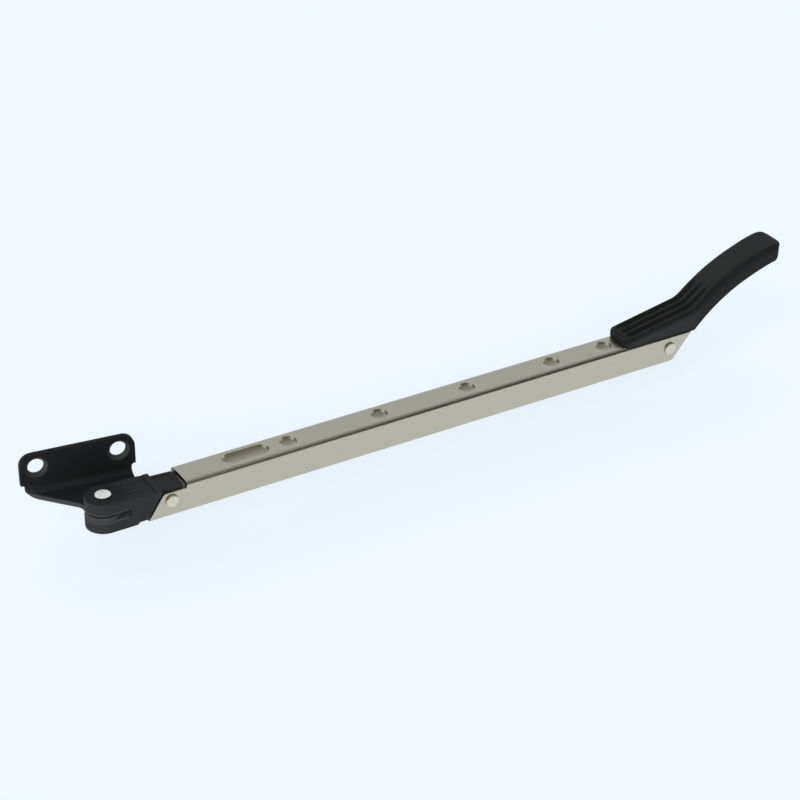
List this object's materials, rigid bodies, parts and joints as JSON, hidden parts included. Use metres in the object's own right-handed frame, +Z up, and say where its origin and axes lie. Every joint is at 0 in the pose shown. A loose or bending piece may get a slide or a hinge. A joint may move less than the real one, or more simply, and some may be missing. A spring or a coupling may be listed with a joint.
{
  "type": "window stay",
  "caption": "Casement window stay: a screw-on bracket with a swivelling knuckle, a perforated steel channel arm that lifts, and an upswept moulded lever handle.",
  "frame": {"origin": "on the back face of the bracket's plate, midway between its two screw holes", "axes": "+X along the window towards the handle, -Y into the room, +Z up"},
  "size_m": [0.3087, 0.05, 0.0384],
  "materials": {
    "bracket_coat": "black coated steel sheet, satin",
    "knuckle_coat": "dark coated casting, satin",
    "pin_steel": "turned and peened",
    "channel_steel": "fine brushed, satin",
    "rivet_steel": "satin",
    "handle_plastic": "fine moulded grain"
  },
  "bodies": {
    "bracket": {"bracket": "bracket_coat"},
    "knuckle": {"knuckle": "knuckle_coat", "hinge_pin": "pin_steel"},
    "arm": {"arm_channel": "channel_steel", "lift_rivet": "rivet_steel", "handle": "handle_plastic", "handle_rivet": "rivet_steel"}
  },
  "joints": [
    {"name": "swivel", "type": "hinge", "parent": "bracket", "child": "knuckle", "pos_m": [0.0031, -0.02, -0.0112], "axis": [0, 0, 1], "range_deg": [-180, 6.5]},
    {"name": "lift", "type": "hinge", "parent": "knuckle", "child": "arm", "pos_m": [0.0259, -0.017, -0.0112], "axis": [0.1305, -0.9914, 0], "range_deg": [-4, 60]}
  ]
}
